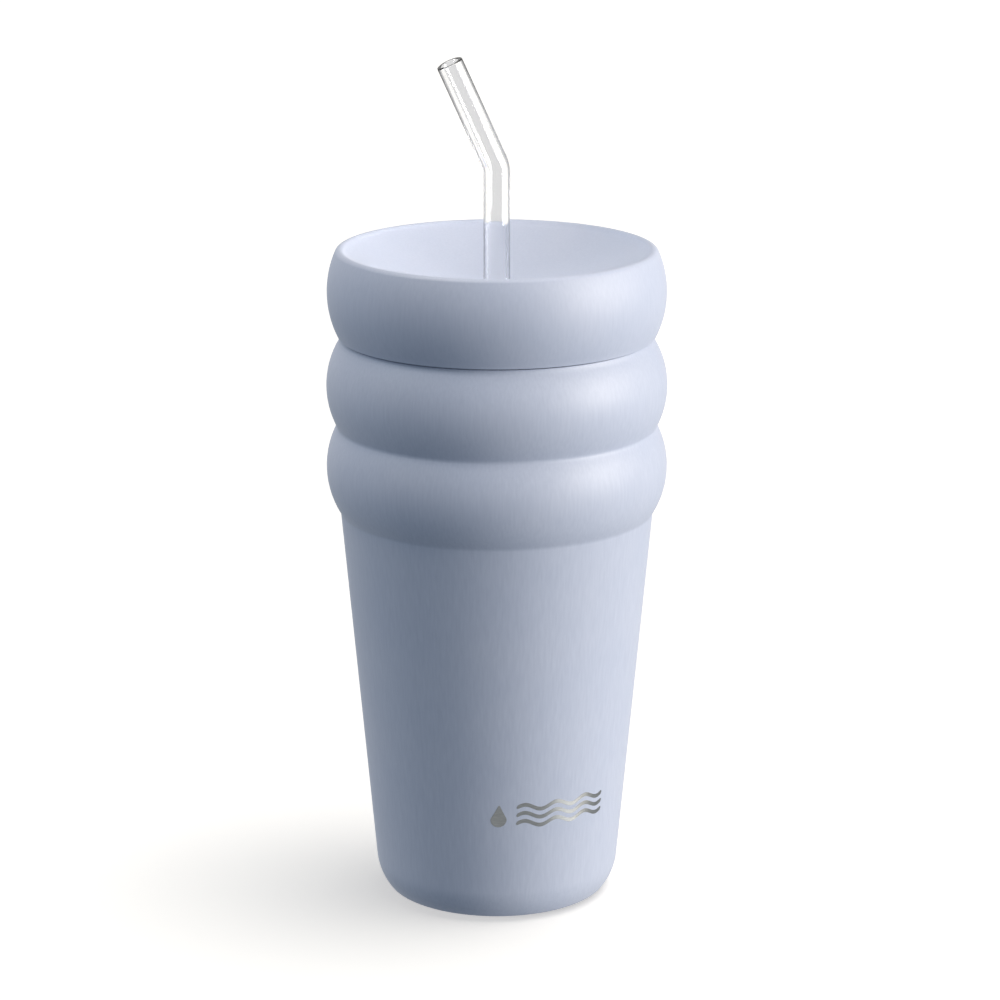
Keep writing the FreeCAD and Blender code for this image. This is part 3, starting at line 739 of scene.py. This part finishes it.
bpy.ops.mesh.primitive_cylinder_add(vertices=VENT_STEPS, radius=VENT_RADIUS * MM,
                                    depth=DRILL_LENGTH * MM,
                                    location=(0, VENT_OFFSET * MM, GROMMET_TOP * MM))
vent_drill = bpy.context.object
bpy.context.view_layer.objects.active = grommet
drill = grommet.modifiers.new("vent", "BOOLEAN")
drill.object = vent_drill
drill.operation = "DIFFERENCE"
bpy.ops.object.modifier_apply(modifier="vent")
bpy.data.objects.remove(vent_drill)
finish_edges(grommet)

# Silicone rubber, tinted to the lid: matt from a blasted tool, with a 0.3 mm grain and a little
# light passing into its thin flange.
bush_silicone, tree = new_material("tinted_silicone_rubber")
place = add_node(tree, "ShaderNodeTexCoord", {})
millimetres = add_node(tree, "ShaderNodeMapping",
                       {"Vector": place.outputs["Object"], "Scale": (1000, 1000, 1000)})
blasting = add_node(tree, "ShaderNodeTexNoise",
                    {"Vector": millimetres.outputs[0], "Scale": 1 / 0.3, "Detail": 2.0})
bush_tint = add_node(tree, "ShaderNodeMix",
                     {0: blasting.outputs[0], 6: linear("#aeb8cd"), 7: linear("#b9c1d4")},
                     data_type="RGBA")
bush_skin = add_node(tree, "ShaderNodeBump",
                     {"Height": blasting.outputs[0], "Strength": 0.3, "Distance": 0.02 * MM})
bush = add_node(tree, "ShaderNodeBsdfPrincipled",
                {"Base Color": bush_tint.outputs[2], "Roughness": 0.62, "IOR": 1.41,
                 "Subsurface Weight": 0.1, "Subsurface Radius": (1.0, 1.0, 1.0),
                 "Subsurface Scale": 1.0 * MM, "Normal": bush_skin.outputs[0]})
add_node(tree, "ShaderNodeOutputMaterial", {"Surface": bush.outputs[0]})
grommet.data.materials.append(bush_silicone)
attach(grommet, "grommet")
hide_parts("straw_grommet")


# ---- Straw -----------------------------------------------------------------------------------
# A 7 mm borosilicate tube with a 1.2 mm wall, bent once over a flame and polished in it at both
# ends. It stands on the cup's axis and leans over the rim at the top.

STRAW_RADIUS = 3.5
STRAW_WALL = 1.2
STRAW_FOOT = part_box("straw")[0].z / MM
STRAW_BEND_HEIGHT = 196.9
STRAW_BEND_RADIUS = 9.0
STRAW_LEAN = math.radians(24.6)
STRAW_TIP = 30.3
STRAW_TURN = math.radians(195.1)
STRAW_STEPS = 64
BEND_STEPS = 12
POLISH_ROUND = 0.35
POLISH_STEPS = 5
POLISH_CREASE = math.radians(60)

lean_way = Vector((math.cos(STRAW_TURN), math.sin(STRAW_TURN), 0))
bend_axis = Vector((lean_way.y, -lean_way.x, 0))
setback = STRAW_BEND_RADIUS * math.tan(STRAW_LEAN / 2)
bend_start = STRAW_BEND_HEIGHT - setback
bend_centre = Vector((0, 0, bend_start)) + lean_way * STRAW_BEND_RADIUS
tip_way = lean_way * math.sin(STRAW_LEAN) + Vector((0, 0, math.cos(STRAW_LEAN)))

bpy.ops.object.select_all(action="DESELECT")
bpy.ops.mesh.primitive_circle_add(vertices=STRAW_STEPS, radius=STRAW_RADIUS * MM,
                                  location=(0, 0, STRAW_FOOT * MM))
bpy.ops.object.transform_apply()
straw = bpy.context.object
straw.name = straw.data.name = "straw_glass"
bpy.ops.object.mode_set(mode="EDIT")
bpy.ops.mesh.select_mode(type="VERT")
bpy.ops.mesh.select_all(action="SELECT")
bpy.ops.mesh.extrude_region_move(
    TRANSFORM_OT_translate={"value": (0, 0, (bend_start - STRAW_FOOT) * MM)})
bpy.ops.mesh.spin(steps=BEND_STEPS, angle=STRAW_LEAN, center=bend_centre * MM, axis=bend_axis)
bpy.ops.mesh.extrude_region_move(
    TRANSFORM_OT_translate={"value": tip_way * (STRAW_TIP - setback) * MM})
bpy.ops.mesh.select_all(action="SELECT")
bpy.ops.mesh.remove_doubles(threshold=0.001 * MM)
bpy.ops.mesh.normals_make_consistent(inside=False)
bpy.ops.object.mode_set(mode="OBJECT")
# The outside takes the first of two material slots; the bore and the ends take the second.
straw.data.materials.append(None)
straw.data.materials.append(None)
tube = straw.modifiers.new("tube", "SOLIDIFY")
tube.material_offset = 1
tube.material_offset_rim = 1
tube.thickness = STRAW_WALL * MM
tube.offset = -1.0
tube.use_even_offset = True
bpy.ops.object.modifier_apply(modifier="tube")
polish = straw.modifiers.new("polish", "BEVEL")
polish.width = POLISH_ROUND * MM
polish.segments = POLISH_STEPS
polish.limit_method = "ANGLE"
polish.angle_limit = POLISH_CREASE
bpy.ops.object.modifier_apply(modifier="polish")
finish_edges(straw, crease_degrees=50)

# Borosilicate glass, drawn and flame-polished: clear, with an index of 1.47 and faint lines along
# the tube, 2.5 mm apart. The outside is tinted greyer towards its edges by the viewing angle: painted
# shade for the darker surroundings seen through the glass there. The bore is not tinted.
for slot, name, painted_edge_shade in ((0, "borosilicate_glass", "#8b8d92"), (1, "bore_glass", "#fdfdfd")):
    glass, tree = new_material(name)
    place = add_node(tree, "ShaderNodeTexCoord", {})
    draw_lines = add_node(tree, "ShaderNodeMapping",
                          {"Vector": place.outputs["Object"], "Scale": (1000, 1000, 30)})
    lines = add_node(tree, "ShaderNodeTexNoise",
                     {"Vector": draw_lines.outputs[0], "Scale": 1 / 2.5, "Detail": 1.0})
    drawn_skin = add_node(tree, "ShaderNodeBump",
                          {"Height": lines.outputs[0], "Strength": 0.04, "Distance": 0.005 * MM})
    # The facing weight greys the outside towards its edges: painted shade, not the glass's own
    # colour.
    facing = add_node(tree, "ShaderNodeLayerWeight", {"Blend": 0.5})
    edge = add_node(tree, "ShaderNodeMapRange",
                    {"Value": facing.outputs["Facing"], "From Min": 0.42, "From Max": 0.62})
    glass_and_painted_edge_tint = add_node(tree, "ShaderNodeMix",
                          {0: edge.outputs[0], 6: linear("#fdfdfd"), 7: linear(painted_edge_shade)},
                          data_type="RGBA")
    clear = add_node(tree, "ShaderNodeBsdfPrincipled",
                     {"Base Color": glass_and_painted_edge_tint.outputs[2], "Roughness": 0.0, "IOR": 1.47,
                      "Transmission Weight": 1.0, "Normal": drawn_skin.outputs[0]})
    add_node(tree, "ShaderNodeOutputMaterial", {"Surface": clear.outputs[0]})
    straw.data.materials[slot] = glass
# The clear tube throws no shadow on the cup or the table.
straw.visible_shadow = False
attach(straw, "drinking_straw")
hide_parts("straw")


# ---- Floor, light and camera -----------------------------------------------------------------
# A plain white table, lit from below, in a white surround. Broad lights stand low on the right and
# higher up on the left. Two more light only the table and throw the cup's shadow on it, and two
# strips light only the glass.

bpy.ops.object.select_all(action="DESELECT")
bpy.ops.mesh.primitive_plane_add(size=12)
floor = bpy.context.object
floor.name = "floor"
# The table isn't mirrored in the cup and doesn't light it; the surround does that from all sides.
floor.visible_diffuse = False
floor.visible_glossy = False
white_table, tree = new_material("backlit_white_acrylic")
table = add_node(tree, "ShaderNodeBsdfDiffuse", {"Color": linear("#e7e3dc")})
backlight = add_node(tree, "ShaderNodeEmission", {"Color": linear("#fffbf7"), "Strength": 0.5})
lit_table = add_node(tree, "ShaderNodeAddShader", {0: table.outputs[0], 1: backlight.outputs[0]})
add_node(tree, "ShaderNodeOutputMaterial", {"Surface": lit_table.outputs[0]})
floor.data.materials.append(white_table)

all_but_floor = bpy.data.collections.new("all_but_floor")
all_but_floor.objects.link(floor)
all_but_floor.collection_objects[0].light_linking.link_state = "EXCLUDE"
floor_only = bpy.data.collections.new("floor_only")
floor_only.objects.link(floor)
glass_only = bpy.data.collections.new("glass_only")
glass_only.objects.link(straw)

SUNS = [
    # name, lights, way round from the front to the right, height, strength, softness, colour
    ("key_front", all_but_floor, 65, 10, 2.40, 30, "#fcf8f3"),
    ("key_side", all_but_floor, 85, 10, 1.88, 30, "#fff5e9"),
    ("key_high", all_but_floor, 65, 40, 0.45, 30, "#fff1e2"),
    ("left_side", all_but_floor, -85, 40, 0.74, 30, "#ecf8ff"),
    ("left_top", all_but_floor, -90, 72, 1.62, 40, "#fff0e1"),
    ("table_top", floor_only, 103, 80, 1.65, 34, "#ffffff"),
    ("table_side", floor_only, 88, 62, 0.30, 30, "#ffffff"),
]
for name, lights, way_round, height, strength, softness, colour in SUNS:
    bpy.ops.object.light_add(type="SUN", location=(0, 0, 1))
    sun = bpy.context.object
    sun.name = name
    sun.rotation_euler = (math.radians(90 - height), 0, math.radians(way_round))
    sun.data.energy = strength
    sun.data.angle = math.radians(softness)
    sun.data.color = linear(colour)[:3]
    sun.light_linking.receiver_collection = lights

STRIP_HEIGHT = 0.35
STRIP_AIM = Vector((0, 0, 0.2))
STRIPS = [
    # way round from the front to the right, power
    (82, 24.0),
    (-78, 24.0),
]
for way_round, power in STRIPS:
    turn = math.radians(way_round)
    strip_place = Vector((math.sin(turn), -math.cos(turn), STRIP_HEIGHT))
    bpy.ops.object.light_add(type="AREA", location=strip_place)
    strip = bpy.context.object
    strip.name = f"glass_strip_{way_round}"
    strip.rotation_euler = (STRIP_AIM - strip_place).to_track_quat("-Z", "Y").to_euler()
    strip.data.shape = "RECTANGLE"
    strip.data.size = 0.45
    strip.data.size_y = 1.2
    strip.data.energy = power
    strip.light_linking.receiver_collection = glass_only

# A pale card behind the straw, seen only through the glass, greys its bore against the white.
CARD_PLACE = (0, 0.35, 0.2)
CARD_SIZE = (0.26, 0.5)
bpy.ops.object.select_all(action="DESELECT")
bpy.ops.mesh.primitive_plane_add(size=1, location=CARD_PLACE)
card = bpy.context.object
card.name = "card_behind_glass"
card.scale = (*CARD_SIZE, 1)
card.rotation_euler = (math.radians(90), 0, 0)
bpy.ops.object.transform_apply(location=False, rotation=False)
card.visible_camera = False
card.visible_diffuse = False
card.visible_glossy = False
card.visible_shadow = False
card_paint, tree = new_material("matt_grey_card")
glow = add_node(tree, "ShaderNodeEmission", {"Color": linear("#dcdcdd"), "Strength": 1.0})
add_node(tree, "ShaderNodeOutputMaterial", {"Surface": glow.outputs[0]})
card.data.materials.append(card_paint)

# The surround is white to look at, dimmer in gloss and a weak, cool light on matt faces.
world = bpy.data.worlds.new("white_surround")
world.use_nodes = True
tree = world.node_tree
tree.nodes.clear()
ray = add_node(tree, "ShaderNodeLightPath", {})
sky = add_node(tree, "ShaderNodeMix",
               {0: ray.outputs["Is Diffuse Ray"], 6: linear("#ffffff"), 7: linear("#6c7783")},
               data_type="RGBA")
level = add_node(tree, "ShaderNodeMapRange",
                 {"Value": ray.outputs["Is Glossy Ray"], "To Min": 1.0, "To Max": 0.75})
surround = add_node(tree, "ShaderNodeBackground",
                    {"Color": sky.outputs[2], "Strength": level.outputs[0]})
add_node(tree, "ShaderNodeOutputWorld", {"Surface": surround.outputs[0]})
bpy.context.scene.world = world

CAMERA_PLACE = Vector((0, -0.9258, 0.3552))
LOOK_AT = Vector((0, 0, 0.1075))
bpy.ops.object.camera_add(location=CAMERA_PLACE)
camera = bpy.context.object
camera.rotation_euler = (LOOK_AT - CAMERA_PLACE).to_track_quat("-Z", "Y").to_euler()
camera.data.sensor_width = 36
camera.data.lens = 129.8
camera.data.shift_x = 0.0032
bpy.context.scene.camera = camera
bpy.context.scene.view_settings.view_transform = "Standard"
